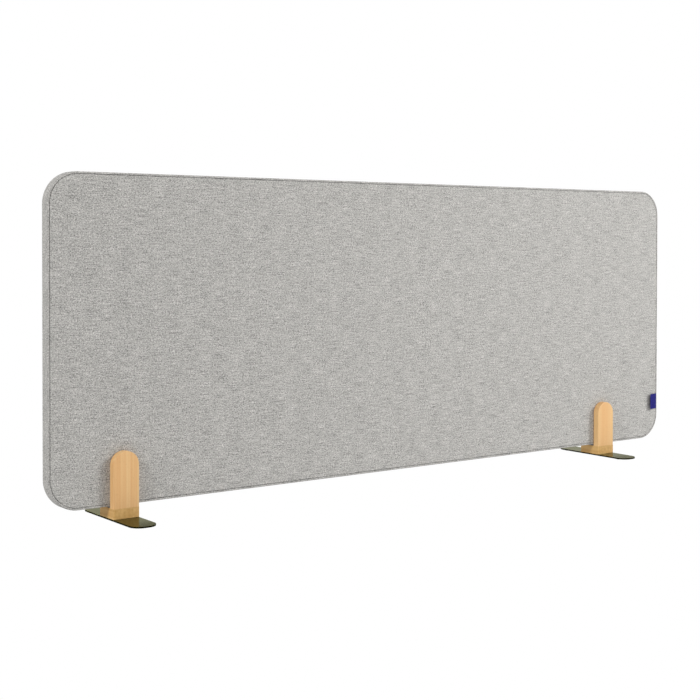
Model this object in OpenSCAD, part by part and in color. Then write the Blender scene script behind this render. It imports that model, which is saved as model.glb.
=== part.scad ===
// Desk divider screen: a cloth-covered absorber panel that stands in two sliding fork feet.
// X runs along the panel, Y through it (front is -Y), Z up. The origin lies on the table,
// below the middle of the panel. All lengths are in millimetres.

/* [Panel] */
// Width of the panel over its cover
panel_w = 1600; // [1400:10:1800]
// Height of the panel over its cover
panel_h = 600; // [450:10:750]
// Radius of the panel's outer corners
corner_r = 58; // [45:1:70]
// Thickness of the cover's cloth
cloth_t = 1; // [0.6:0.1:1.4]
// Thickness of each felt facing under the cloth
felt_t = 3; // [2:0.5:4]
// Gap between the sewn cover and the core inside it
band_gap = 0.1; // [0.05:0.05:0.3]
// Gap along the seam between the face cloth and the edge band
seam_gap = 0.2; // [0.1:0.05:0.4]

/* [Core] */
// Thickness of the wooden frame and of the absorber slabs in it
frame_t = 16; // [12:1:22]
// Width of the frame's rails and end stiles
rail_w = 40; // [34:1:50]
// Width of the two middle stiles
mid_stile_w = 40; // [34:1:50]
// Straight land of a corner block past its round corner
corner_land = 5; // [3:1:12]
// Gap round each absorber slab
slab_gap = 0.3; // [0.1:0.1:0.6]
// Diameter of the frame's dowels
frame_dowel_d = 6; // [5:0.5:8]
// Length of the frame's dowels
frame_dowel_len = 30; // [24:1:40]
// Distance from a rail's edge to the axis of its nearest dowel
frame_dowel_inset = 10; // [8:0.5:12]

/* [Lower edge closure] */
// Thickness of the hook tape, and of the loop tape
tape_t = 0.9; // [0.6:0.1:1.2]
// Width of the tapes
tape_w = 16; // [12:1:18]
// Distance from the end of the closure to the end of its tapes
tape_inset = 12; // [5:1:30]
// Height of the band's lips above the closure's lapped cloth and tapes
lip_margin = 0.2; // [0.1:0.1:1]
// Width of the inner flap's fold under the front edge
fold_w = 3; // [2:0.5:3.5]
// Gap between the inner flap's fold and the outer flap's edge
lap_gap = 0.1; // [0.05:0.05:0.3]
// Distance that the inner flap stops short of the back cover
inner_flap_inset = 3; // [2:0.5:5]

/* [Label] */
// Width of the label from its seam to its fold
label_w = 28; // [15:1:35]
// Height of the label
label_h = 36; // [25:1:60]
// Thickness of the folded label
label_t = 0.8; // [0.5:0.1:1.2]
// Height of the label's lower edge above the corner's round part
label_rise = 12; // [5:1:60]
// Angle that the label stands off the face
label_tilt = 12; // [5:1:30]

/* [Feet] */
// Distance of the left foot's middle from the panel's left end
left_foot_inset = 144; // [105:1:400]
// Distance of the right foot's middle from the panel's right end
right_foot_inset = 200; // [105:1:400]
// Width of each foot along the panel
foot_w = 51; // [46:1:60]
// Thickness of each stave
stave_t = 15; // [13:1:20]
// Height of each stave above the base block
stave_h = 102.5; // [70:0.5:140]
// Height of the base block
block_h = 19; // [17:0.5:30]
// Play between a stave and the cover on each side
fork_play = 0.3; // [0.2:0.1:0.5]
// Thickness of the felt strip that the panel stands on
strip_t = 3; // [2:0.5:5]
// Inset of the felt strip from the block's ends
strip_inset = 1; // [0.5:0.5:3]
// Gap between the felt strip and the staves
strip_gap = 0.1; // [0.05:0.05:0.5]
// Gap between the felt strip and the panel
stand_gap = 0.3; // [0.2:0.1:0.5]

/* [Base plates] */
// Length of each steel plate, across the panel
plate_len = 214; // [160:1:260]
// Thickness of each steel plate
plate_t = 3; // [2.5:0.5:5]
// Radius of the plate's corners
plate_end_r = 22; // [10:1:22]
// Diameter of the non-slip pads
pad_d = 16; // [10:1:18]
// Thickness of the non-slip pads
pad_t = 1.5; // [1:0.5:3]
// Distance of a pad's middle from the plate's end
pad_end_inset = 26; // [20:1:40]
// Distance of a pad's middle from the plate's side
pad_side_inset = 13; // [10:1:16]

/* [Foot joints] */
// Diameter of the wooden dowels between block and stave
dowel_d = 8; // [6:0.5:9]
// Depth of a dowel in the block
dowel_in_block = 13; // [10:0.5:13]
// Depth of a dowel in the stave
dowel_in_stave = 17; // [12:0.5:30]
// Distance between the two dowels of a stave
dowel_pitch = 30; // [24:0.5:32]
// Free depth past the end of each dowel
dowel_end_gap = 0.8; // [0.5:0.1:1.5]
// Gap round every dowel, for its glue
glue_gap = 0.05; // [0.02:0.01:0.08]
// Diameter of the screw's shank
screw_d = 4.5; // [4:0.5:5]
// Diameter of the screw's countersunk head
screw_head_d = 8.5; // [8:0.5:10]
// Length of the screw with its head
screw_len = 50; // [40:1:60]
// Length of the screw's point
screw_point_len = 6; // [4:0.5:8]
// Diameter of the small flat at the end of the screw's point
screw_tip_d = 0.6; // [0.3:0.1:1]
// Width across the corners of the screw's hexagonal socket
screw_socket_d = 3.6; // [3:0.1:4]
// Depth of the screw's socket
screw_socket_depth = 1.6; // [1:0.1:2]
// Depth of the screw's head below the plate's underside
screw_sink = 0.2; // [0.1:0.1:0.4]
// Gap between the screw's shank and the holes in plate and block
screw_play = 0.25; // [0.1:0.05:0.4]
// Gap between the screw and its pilot hole in the stave
pilot_gap = 0.05; // [0.02:0.01:0.08]
// Gap between the screw's head and its countersink
head_gap = 0.05; // [0.02:0.01:0.1]

/* [Hidden] */
// Overrun of every cut past the face it opens
cut = 1;

// Layers through the panel
panel_t = frame_t + 2 * (felt_t + cloth_t);
closure_h = 2 * (cloth_t + tape_t);
seam_inset = closure_h + lip_margin;
fold_y = fold_w - panel_t / 2;

// Heights from the table up
plate_z = pad_t;
block_z = plate_z + plate_t;
stave_z = block_z + block_h;
panel_z = stave_z + strip_t + stand_gap;

// Outline of the core inside the cover
core_inset = cloth_t + band_gap;
core_r = corner_r - core_inset;
core_x = panel_w / 2 - core_inset;
core_low_z = panel_z + core_inset;
core_top_z = panel_z + panel_h - core_inset;
corner_side = core_r + corner_land;
closure_x = core_x - corner_side;
closure_core_z = core_low_z + closure_h - cloth_t;

// Bays of the frame
bay_low_z = core_low_z + rail_w;
bay_top_z = core_top_z - rail_w;
bay_count = 3;
bay_w = (2 * (core_x - rail_w) - (bay_count - 1) * mid_stile_w) / bay_count;
mid_stile_x = (bay_w + mid_stile_w) / 2;

// Feet
left_foot_x = left_foot_inset - panel_w / 2;
right_foot_x = panel_w / 2 - right_foot_inset;
slot_w = panel_t + 2 * fork_play;
block_len = slot_w + 2 * stave_t;
stave_y = (slot_w + stave_t) / 2;

CLOTH = [0.72, 0.72, 0.70];
FELT = [0.45, 0.45, 0.46];
PINE = [0.86, 0.74, 0.55];
FLEECE = [0.9, 0.9, 0.88];
BEECH = [0.87, 0.70, 0.49];
STEEL = [0.16, 0.15, 0.10];
RUBBER = [0.1, 0.1, 0.1];
ZINC = [0.7, 0.7, 0.72];
BLUE = [0.15, 0.15, 0.5];
TAPE = [0.3, 0.3, 0.32];

$fn = 96;

// Shared shapes

// Rounded rectangle whose sides lie inset inside the panel's outline
module panel_outline(inset) {
    w = panel_w - 2 * inset;
    h = panel_h - 2 * inset;
    r = corner_r - inset;
    translate([-w / 2 + r, inset]) square([w - 2 * r, h]);
    translate([-w / 2, inset + r]) square([w, h - 2 * r]);
    for (x = [-w / 2 + r, w / 2 - r], z = [inset + r, inset + h - r])
        translate([x, z]) circle(r);
}

// Stands a flat shape up in the panel, from one depth to another
module in_panel(front_y, back_y) {
    translate([0, back_y, panel_z]) rotate([90, 0, 0]) linear_extrude(back_y - front_y) children();
}

// Block between two corners
module span(low, high) {
    translate(low) cube(high - low);
}

// Recess that leaves room for the lapped closure below the core
module closure_recess() {
    span([-closure_x, -panel_t / 2 - cut, core_low_z - cut], [closure_x, panel_t / 2 + cut, closure_core_z]);
}

// Square that takes in one round corner of the core
module corner_square(x_side, z_side) {
    corner_x = x_side > 0 ? core_x - corner_side : -core_x;
    corner_z = z_side > 0 ? core_top_z - corner_side : core_low_z;
    translate([corner_x, -frame_t / 2 - cut, corner_z])
        cube([corner_side, frame_t + 2 * cut, corner_side]);
}

// Cover

module cover_face(front_y) {
    color(CLOTH) in_panel(front_y, front_y + cloth_t) panel_outline(seam_inset + seam_gap);
}

module cover_front() {
    cover_face(-panel_t / 2);
}

module cover_back() {
    cover_face(panel_t / 2 - cloth_t);
}

module edge_band() {
    color(CLOTH) difference() {
        in_panel(-panel_t / 2, panel_t / 2) panel_outline(0);
        in_panel(-panel_t / 2 + cloth_t, panel_t / 2 - cloth_t) panel_outline(cloth_t);
        in_panel(-panel_t / 2 - cut, panel_t / 2 + cut) panel_outline(seam_inset);
        span([-closure_x, -panel_t / 2 - cut, panel_z - cut],
            [closure_x, panel_t / 2 + cut, panel_z + seam_inset + cut]);
    }
}

// Inner flap: a lip on the front face, a fold under the edge and a leaf above the tapes
module flap_front() {
    leaf_top_z = panel_z + closure_h;
    color(CLOTH) union() {
        span([-closure_x, -panel_t / 2, panel_z], [closure_x, -panel_t / 2 + cloth_t, panel_z + seam_inset]);
        span([-closure_x, -panel_t / 2, panel_z], [closure_x, fold_y, panel_z + cloth_t]);
        span([-closure_x, fold_y - cloth_t, panel_z], [closure_x, fold_y, leaf_top_z]);
        span([-closure_x, fold_y - cloth_t, leaf_top_z - cloth_t],
            [closure_x, panel_t / 2 - inner_flap_inset, leaf_top_z]);
    }
}

// Outer flap: a lip on the back face and a leaf under the tapes
module flap_back() {
    color(CLOTH) union() {
        span([-closure_x, panel_t / 2 - cloth_t, panel_z], [closure_x, panel_t / 2, panel_z + seam_inset]);
        span([-closure_x, fold_y + lap_gap, panel_z], [closure_x, panel_t / 2, panel_z + cloth_t]);
    }
}

module closure_tape(low_z) {
    tape_x = closure_x - tape_inset;
    color(TAPE) span([-tape_x, -tape_w / 2, low_z], [tape_x, tape_w / 2, low_z + tape_t]);
}

module hook_tape() {
    closure_tape(panel_z + cloth_t + tape_t);
}

module loop_tape() {
    closure_tape(panel_z + cloth_t);
}

module label_tab() {
    color(BLUE) translate([panel_w / 2 - seam_inset, -panel_t / 2, panel_z + corner_r + label_rise])
        rotate([0, 0, label_tilt]) translate([-label_w, -label_t, 0]) cube([label_w, label_t, label_h]);
}

// Core

module felt_sheet(front_y) {
    color(FELT) difference() {
        in_panel(front_y, front_y + felt_t) panel_outline(core_inset);
        closure_recess();
    }
}

module felt_front() {
    felt_sheet(-panel_t / 2 + cloth_t);
}

module felt_back() {
    felt_sheet(frame_t / 2);
}

// Pair of dowels across a rail's width, lying along X at the end of a rail
module rail_dowels(joint_x, low_z, high_z, d, len) {
    for (z = [low_z + frame_dowel_inset, high_z - frame_dowel_inset])
        translate([joint_x - len / 2, 0, z]) rotate([0, 90, 0]) cylinder(d = d, h = len);
}

// Pair of dowels across a stile's width, standing along Z at the end of a stile
module stile_dowels(joint_z, low_x, high_x, d, len) {
    for (x = [low_x + frame_dowel_inset, high_x - frame_dowel_inset])
        translate([x, 0, joint_z - len / 2]) cylinder(d = d, h = len);
}

// Every dowel of the frame, with the given growth of its diameter and ends
module all_frame_dowels(grow_d, grow_end) {
    d = frame_dowel_d + grow_d;
    len = frame_dowel_len + 2 * grow_end;
    for (x = [-closure_x, closure_x]) {
        rail_dowels(x, closure_core_z, bay_low_z, d, len);
        rail_dowels(x, bay_top_z, core_top_z, d, len);
    }
    for (z = [core_low_z + corner_side, core_top_z - corner_side]) {
        stile_dowels(z, -core_x, -core_x + rail_w, d, len);
        stile_dowels(z, core_x - rail_w, core_x, d, len);
    }
    for (x = [-mid_stile_x, mid_stile_x], z = [bay_low_z, bay_top_z])
        stile_dowels(z, x - mid_stile_w / 2, x + mid_stile_w / 2, d, len);
}

module frame_dowels() {
    color(BEECH) all_frame_dowels(0, 0);
}

// A frame member with its dowel holes
module bored_member() {
    color(PINE) difference() {
        children();
        all_frame_dowels(2 * glue_gap, dowel_end_gap);
    }
}

module top_rail() {
    bored_member() span([-closure_x, -frame_t / 2, bay_top_z], [closure_x, frame_t / 2, core_top_z]);
}

module bottom_rail() {
    bored_member() span([-closure_x, -frame_t / 2, closure_core_z], [closure_x, frame_t / 2, bay_low_z]);
}

module end_stile(low_x) {
    bored_member() span([low_x, -frame_t / 2, core_low_z + corner_side],
        [low_x + rail_w, frame_t / 2, core_top_z - corner_side]);
}

module left_stile() {
    end_stile(-core_x);
}

module right_stile() {
    end_stile(core_x - rail_w);
}

module mid_stile(x) {
    bored_member() span([x - mid_stile_w / 2, -frame_t / 2, bay_low_z],
        [x + mid_stile_w / 2, frame_t / 2, bay_top_z]);
}

module mid_stile_left() {
    mid_stile(-mid_stile_x);
}

module mid_stile_right() {
    mid_stile(mid_stile_x);
}

module corner_block(x_side, z_side) {
    bored_member() intersection() {
        in_panel(-frame_t / 2, frame_t / 2) panel_outline(core_inset);
        corner_square(x_side, z_side);
    }
}

module corner_block_top_left() {
    corner_block(-1, 1);
}

module corner_block_top_right() {
    corner_block(1, 1);
}

module corner_block_bottom_left() {
    corner_block(-1, -1);
}

module corner_block_bottom_right() {
    corner_block(1, -1);
}

// Slab that fills one bay, clear of the corner blocks that reach into the end bays
module absorber(mid_x) {
    notch_side = corner_side + slab_gap;
    notch_x = core_x - notch_side;
    color(FLEECE) difference() {
        span([mid_x - bay_w / 2 + slab_gap, -frame_t / 2, bay_low_z + slab_gap],
            [mid_x + bay_w / 2 - slab_gap, frame_t / 2, bay_top_z - slab_gap]);
        for (low_x = [-core_x, notch_x], low_z = [core_low_z, core_top_z - notch_side])
            span([low_x, -frame_t / 2 - cut, low_z],
                [low_x + notch_side, frame_t / 2 + cut, low_z + notch_side]);
    }
}

module absorber_left() {
    absorber(-bay_w - mid_stile_w);
}

module absorber_mid() {
    absorber(0);
}

module absorber_right() {
    absorber(bay_w + mid_stile_w);
}

// Feet, each drawn with its middle below the origin

module foot_screw() {
    head_r = screw_head_d / 2;
    shank_r = screw_d / 2;
    head_h = head_r - shank_r;
    point_z = screw_len - screw_point_len;
    difference() {
        union() {
            cylinder(r1 = head_r, r2 = shank_r, h = head_h);
            cylinder(r = shank_r, h = point_z);
            translate([0, 0, point_z]) cylinder(r1 = shank_r, r2 = screw_tip_d / 2, h = screw_point_len);
        }
        translate([0, 0, -cut]) cylinder(d = screw_socket_d, h = screw_socket_depth + cut, $fn = 6);
    }
}

// Both screws of a foot, one under each stave
module screw_pair() {
    for (y = [-stave_y, stave_y])
        translate([0, y, plate_z + screw_sink]) foot_screw();
}

// Clearance of both screws through the plate
module plate_screw_holes() {
    hole_r = screw_d / 2 + screw_play;
    sink_r = screw_head_d / 2 + screw_sink + head_gap;
    for (y = [-stave_y, stave_y])
        translate([0, y, plate_z]) {
            translate([0, 0, -cut]) cylinder(r = hole_r, h = plate_t + 2 * cut);
            cylinder(r1 = sink_r, r2 = hole_r, h = sink_r - hole_r);
            translate([0, 0, -cut]) cylinder(r = sink_r, h = cut);
        }
}

module plate_outline() {
    w = foot_w;
    r = plate_end_r;
    translate([-w / 2 + r, -plate_len / 2]) square([w - 2 * r, plate_len]);
    translate([-w / 2, -plate_len / 2 + r]) square([w, plate_len - 2 * r]);
    for (x = [-w / 2 + r, w / 2 - r], y = [-plate_len / 2 + r, plate_len / 2 - r])
        translate([x, y]) circle(r);
}

module base_plate() {
    color(STEEL) difference() {
        translate([0, 0, plate_z]) linear_extrude(plate_t) plate_outline();
        plate_screw_holes();
    }
}

module floor_pads() {
    pad_x = foot_w / 2 - pad_side_inset;
    pad_y = plate_len / 2 - pad_end_inset;
    color(RUBBER) for (x = [-pad_x, pad_x], y = [-pad_y, pad_y])
        translate([x, y, 0]) cylinder(d = pad_d, h = pad_t);
}

// The four dowels of a foot, with the given growth of their diameter and ends
module foot_dowels(grow_d, grow_end) {
    for (x = [-dowel_pitch / 2, dowel_pitch / 2], y = [-stave_y, stave_y])
        translate([x, y, stave_z - dowel_in_block - grow_end])
            cylinder(d = dowel_d + grow_d, h = dowel_in_block + dowel_in_stave + 2 * grow_end);
}

module dowels() {
    color(BEECH) foot_dowels(0, 0);
}

module screws() {
    color(ZINC) screw_pair();
}

module base_block() {
    color(BEECH) difference() {
        span([-foot_w / 2, -block_len / 2, block_z], [foot_w / 2, block_len / 2, stave_z]);
        foot_dowels(2 * glue_gap, dowel_end_gap);
        for (y = [-stave_y, stave_y])
            translate([0, y, block_z - cut]) cylinder(r = screw_d / 2 + screw_play, h = block_h + 2 * cut);
    }
}

module stave(mid_y) {
    pilot_top_z = plate_z + screw_sink + screw_len + dowel_end_gap;
    color(BEECH) difference() {
        translate([0, mid_y + stave_t / 2, stave_z]) rotate([90, 0, 0]) linear_extrude(stave_t) {
            translate([-foot_w / 2, 0]) square([foot_w, stave_h - foot_w / 2]);
            translate([0, stave_h - foot_w / 2]) circle(foot_w / 2);
        }
        foot_dowels(2 * glue_gap, dowel_end_gap);
        translate([0, mid_y, stave_z - cut])
            cylinder(r = screw_d / 2 + pilot_gap, h = pilot_top_z - stave_z + cut);
    }
}

module felt_strip() {
    strip_x = foot_w / 2 - strip_inset;
    strip_y = slot_w / 2 - strip_gap;
    color(FELT) span([-strip_x, -strip_y, stave_z], [strip_x, strip_y, stave_z + strip_t]);
}

module left_foot() {
    translate([left_foot_x, 0, 0]) children();
}

module right_foot() {
    translate([right_foot_x, 0, 0]) children();
}

cover_front();
cover_back();
edge_band();
flap_front();
flap_back();
hook_tape();
loop_tape();
label_tab();
felt_front();
felt_back();
top_rail();
bottom_rail();
left_stile();
right_stile();
mid_stile_left();
mid_stile_right();
corner_block_top_left();
corner_block_top_right();
corner_block_bottom_left();
corner_block_bottom_right();
frame_dowels();
absorber_left();
absorber_mid();
absorber_right();
left_foot() base_plate();  // left_base_plate
left_foot() floor_pads();  // left_floor_pads
left_foot() base_block();  // left_base_block
left_foot() stave(-stave_y);  // left_front_stave
left_foot() stave(stave_y);  // left_back_stave
left_foot() dowels();  // left_dowels
left_foot() screws();  // left_screws
left_foot() felt_strip();  // left_felt_strip
right_foot() base_plate();  // right_base_plate
right_foot() floor_pads();  // right_floor_pads
right_foot() base_block();  // right_base_block
right_foot() stave(-stave_y);  // right_front_stave
right_foot() stave(stave_y);  // right_back_stave
right_foot() dowels();  // right_dowels
right_foot() screws();  // right_screws
right_foot() felt_strip();  // right_felt_strip
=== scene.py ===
"""Looks of the acoustic divider screen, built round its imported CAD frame. All lengths are in metres."""

import logging
import math
from dataclasses import dataclass, replace
from enum import Enum
from typing import Callable, Iterable, Optional, Sequence, Union

import bmesh
import bpy
from mathutils import Matrix, Vector, noise

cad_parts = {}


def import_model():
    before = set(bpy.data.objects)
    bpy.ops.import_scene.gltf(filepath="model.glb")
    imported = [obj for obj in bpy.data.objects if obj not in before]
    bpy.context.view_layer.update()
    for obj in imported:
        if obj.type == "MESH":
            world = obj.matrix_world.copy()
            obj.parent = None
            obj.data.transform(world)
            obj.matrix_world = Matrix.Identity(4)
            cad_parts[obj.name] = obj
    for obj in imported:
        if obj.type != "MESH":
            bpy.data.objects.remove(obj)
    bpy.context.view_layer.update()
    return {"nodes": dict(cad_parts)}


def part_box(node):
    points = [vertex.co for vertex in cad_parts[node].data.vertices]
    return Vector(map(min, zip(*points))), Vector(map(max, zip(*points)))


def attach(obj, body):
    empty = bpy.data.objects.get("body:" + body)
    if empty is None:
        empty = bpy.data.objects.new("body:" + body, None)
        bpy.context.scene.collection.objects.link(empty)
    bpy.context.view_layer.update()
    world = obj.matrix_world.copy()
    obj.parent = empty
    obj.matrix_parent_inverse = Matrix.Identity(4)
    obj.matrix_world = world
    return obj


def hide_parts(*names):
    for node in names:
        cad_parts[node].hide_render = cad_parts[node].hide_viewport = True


LOG = logging.getLogger("divider_screen")
WEAVE_MAP = "weave"
# Vertex layer with the mask of the painted shade that darkens the cloth in the seam grooves.
PAINTED_SEAM_SHADE_LAYER = "painted_seam_mask"
MM = 0.001
MERGE_GAP = 1e-6
CUT_SNAP = 1e-7
UPRIGHT_OVER = 0.9
RIM_OVER = math.radians(60.0)
SLAB_CORNER_STEPS = 6
SLAB_EDGE_STEPS = 3
X_AXIS = Vector((1, 0, 0))
Z_AXIS = Vector((0, 0, 1))
Pair = tuple[float, float]
Triple = tuple[float, float, float]
Colour = tuple[float, float, float]
Number = Union["Signal", float]


class Body(str, Enum):
    """CAD bodies of the screen."""

    PANEL = "panel"
    LEFT_FOOT = "left_foot"
    RIGHT_FOOT = "right_foot"


class Slot(str, Enum):
    """Material slots of the record that new pieces take."""

    COVER_CLOTH = "cover_cloth"
    CLOSURE_TAPE = "closure_tape"
    LABEL_CLOTH = "label_cloth"
    GREY_FELT = "grey_felt"
    FLEECE = "absorber_fleece"
    BEECH = "beech"
    DARK_STEEL = "dark_steel"
    PAD_RUBBER = "pad_rubber"


class Face(str, Enum):
    """The two faces of the panel, as the CAD nodes name them."""

    FRONT = "front"
    BACK = "back"


class Grain(Enum):
    """Axis that the grain of a wooden piece follows, as the turn that lays it along Z."""

    ALONG_X = (0.0, math.pi / 2, 0.0)
    ALONG_Y = (math.pi / 2, 0.0, 0.0)
    ALONG_Z = (0.0, 0.0, 0.0)


# Shader building


class Signal:
    """Number that one output socket of a shader node carries, with arithmetic that adds Math nodes."""

    def __init__(self, recipe: "Recipe", socket: bpy.types.NodeSocket) -> None:
        """Keep the socket and the recipe it belongs to.

        Args:
            recipe: Material under construction.
            socket: Output socket of a node in it.
        """
        self.recipe = recipe
        self.socket = socket

    def _math(self, operation: str, first: Number, second: Number) -> "Signal":
        """Result of a Math node on two numbers."""
        return self.recipe.node("ShaderNodeMath", {"operation": operation}, {0: first, 1: second})

    def __add__(self, other: Number) -> "Signal":
        """Sum."""
        return self._math("ADD", self, other)

    __radd__ = __add__

    def __mul__(self, other: Number) -> "Signal":
        """Product."""
        return self._math("MULTIPLY", self, other)

    __rmul__ = __mul__

    def __sub__(self, other: Number) -> "Signal":
        """Difference."""
        return self._math("SUBTRACT", self, other)

    def __rsub__(self, other: Number) -> "Signal":
        """Difference with a plain number first."""
        return self._math("SUBTRACT", other, self)

    def __truediv__(self, other: Number) -> "Signal":
        """Quotient."""
        return self._math("DIVIDE", self, other)

    def __pow__(self, other: Number) -> "Signal":
        """Power."""
        return self._math("POWER", self, other)

    def apply(self, operation: str) -> "Signal":
        """Result of a Math operation on this number alone: FLOOR, FRACT or SINE."""
        return self._math(operation, self, 0.0)


class Recipe:
    """Node tree of one material, filled through a few plain methods."""

    COLOUR_A = 6
    COLOUR_B = 7
    COLOUR_OUT = 2
    NOISE_LIMITS = (0.3, 0.7)

    def __init__(self, owner: Union[bpy.types.Material, bpy.types.World]) -> None:
        """Start from the owner's own nodes.

        Args:
            owner: Material or world with its default nodes.
        """
        self.tree = owner.node_tree
        self.shader = next((n for n in self.tree.nodes if n.type == "BSDF_PRINCIPLED"), None)

    def node(self, kind: str, settings: dict, inputs: dict, output: Union[int, str] = 0) -> Signal:
        """Add one node.

        Args:
            kind: Type name of the node.
            settings: Properties that are set first; "stops" holds a ramp's (position, colour) pairs.
            inputs: Values or links of its sockets, by index or name.
            output: Socket that is wanted.

        Returns:
            The wanted output.
        """
        made = self.tree.nodes.new(kind)
        for name, value in settings.items():
            if name == "stops":
                self._set_stops(made.color_ramp, value)
            else:
                setattr(made, name, value)
        for key, value in inputs.items():
            if isinstance(value, Signal):
                self.tree.links.new(value.socket, made.inputs[key])
            else:
                made.inputs[key].default_value = value
        return Signal(self, made.outputs[output])

    @staticmethod
    def _set_stops(ramp: bpy.types.ColorRamp, stops: Sequence[tuple[float, Colour]]) -> None:
        """Give a colour ramp its stops.

        Args:
            ramp: Ramp with its two default stops.
            stops: Position and colour of each stop, in order.
        """
        while len(ramp.elements) < len(stops):
            ramp.elements.new(0.5)
        for element, (position, colour) in zip(ramp.elements, stops):
            element.position = position
            element.color = (*colour, 1.0)

    def object_place(self) -> Signal:
        """Object coordinates."""
        return self.node("ShaderNodeTexCoord", {}, {}, "Object")

    def weave_place(self) -> Signal:
        """Coordinates along and across the cloth, in metres."""
        return self.node("ShaderNodeUVMap", {"uv_map": WEAVE_MAP}, {})

    def moved(self, place: Signal, turn: Triple = (0, 0, 0), scale: Triple = (1, 1, 1)) -> Signal:
        """Coordinates turned and scaled by a Mapping node."""
        return self.node("ShaderNodeMapping", {}, {0: place, 2: turn, 3: scale})

    def parts(self, place: Signal) -> tuple[Signal, Signal, Signal]:
        """The three numbers of a vector."""
        split = self.node("ShaderNodeSeparateXYZ", {}, {0: place}).socket.node
        return tuple(Signal(self, output) for output in split.outputs)

    def joined(self, x: Number, y: Number, z: Number = 0.0) -> Signal:
        """A vector from three numbers."""
        return self.node("ShaderNodeCombineXYZ", {}, {0: x, 1: y, 2: z})

    def noise(self, place: Signal, scale: float, detail: float, rough: float = 0.5) -> Signal:
        """Smooth noise around 0.5."""
        inputs = {"Vector": place, "Scale": scale, "Detail": detail, "Roughness": rough}
        return self.node("ShaderNodeTexNoise", {}, inputs)

    def drawn_noise(self, place: Signal, scale: Triple, detail: float, rough: float = 0.5,
                    turn: Triple = (0, 0, 0)) -> Signal:
        """Smooth noise around 0.5 with a scale of its own on each axis.

        Args:
            place: Coordinates.
            scale: Scale on each axis, after the turn.
            detail: Number of finer layers.
            rough: Strength of the finer layers.
            turn: Turn of the coordinates, in radians.

        Returns:
            The noise.
        """
        return self.noise(self.moved(place, turn, scale), 1.0, detail, rough)

    def speckle(self, place: Signal) -> Signal:
        """Evenly spread random number for each whole place."""
        return self.node("ShaderNodeTexWhiteNoise", {"noise_dimensions": "2D"}, {"Vector": place})

    def cells(self, place: Signal, scale: float) -> Signal:
        """Distance from the middles of Voronoi cells."""
        return self.node("ShaderNodeTexVoronoi", {}, {"Vector": place, "Scale": scale}, "Distance")

    def spread(self, value: Signal, low: float, high: float, to_low: float = 0.0,
               to_high: float = 1.0) -> Signal:
        """Number moved from one range to another and held in it."""
        return self.node("ShaderNodeMapRange", {}, {0: value, 1: low, 2: high, 3: to_low, 4: to_high})

    def between(self, value: Signal, limits: Pair) -> Signal:
        """Usual range of a noise moved to other limits."""
        return self.spread(value, *self.NOISE_LIMITS, *limits)

    def ramp(self, value: Signal, stops: Sequence[tuple[float, Colour]]) -> Signal:
        """Colour from a ramp."""
        return self.node("ShaderNodeValToRGB", {"stops": stops}, {0: value})

    def mixed(self, factor: Number, first: Union[Signal, Colour], second: Union[Signal, Colour],
              blend: str = "MIX") -> Signal:
        """Colour mixed from two.

        Args:
            factor: Share of the second colour.
            first: Colour or link.
            second: Colour or link.
            blend: Blending mode.

        Returns:
            The mixed colour.
        """
        pair = [c if isinstance(c, Signal) else (*c, 1.0) for c in (first, second)]
        return self.node("ShaderNodeMix", {"data_type": "RGBA", "blend_type": blend},
                         {0: factor, self.COLOUR_A: pair[0], self.COLOUR_B: pair[1]}, self.COLOUR_OUT)

    def bump(self, height: Signal, depth: float, strength: float) -> Signal:
        """Normal bent by a height from 0 to 1 that stands for a depth in metres."""
        return self.node("ShaderNodeBump", {}, {"Height": height, "Distance": depth, "Strength": strength})

    def seen_white(self, mirrored: float, elsewhere: float) -> Signal:
        """Strength of a surround that the camera sees as white.

        Args:
            mirrored: Strength that reflections see.
            elsewhere: Strength as a light on matt surfaces.

        Returns:
            The strength.
        """
        path = self.tree.nodes.new("ShaderNodeLightPath")
        seen = Signal(self, path.outputs["Is Camera Ray"])
        glossy = Signal(self, path.outputs["Is Glossy Ray"])
        return seen + glossy * mirrored + (1.0 - seen - glossy) * elsewhere

    def feed(self, **sockets: Union[Signal, float, Colour]) -> None:
        """Set or link sockets of the shader.

        Args:
            **sockets: Values by socket name, with an underscore for each space.
        """
        for name, value in sockets.items():
            socket = self.shader.inputs[name.replace("_", " ")]
            if isinstance(value, Signal):
                self.tree.links.new(value.socket, socket)
            elif isinstance(value, tuple):
                socket.default_value = (*value, 1.0)
            else:
                socket.default_value = value


@dataclass(frozen=True)
class Finish:
    """Surface finish that builds one material."""

    name: str

    def material(self) -> bpy.types.Material:
        """The material of this finish, built the first time it is asked for.

        Returns:
            The ready material.
        """
        ready = bpy.data.materials.get(self.name)
        if ready is not None:
            return ready
        made = bpy.data.materials.new(self.name)
        made.use_nodes = True
        self.dress(Recipe(made))
        return made

    def dress(self, recipe: Recipe) -> None:
        """Fill the material's nodes; each finish has its own."""
        raise NotImplementedError(self.name)


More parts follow.
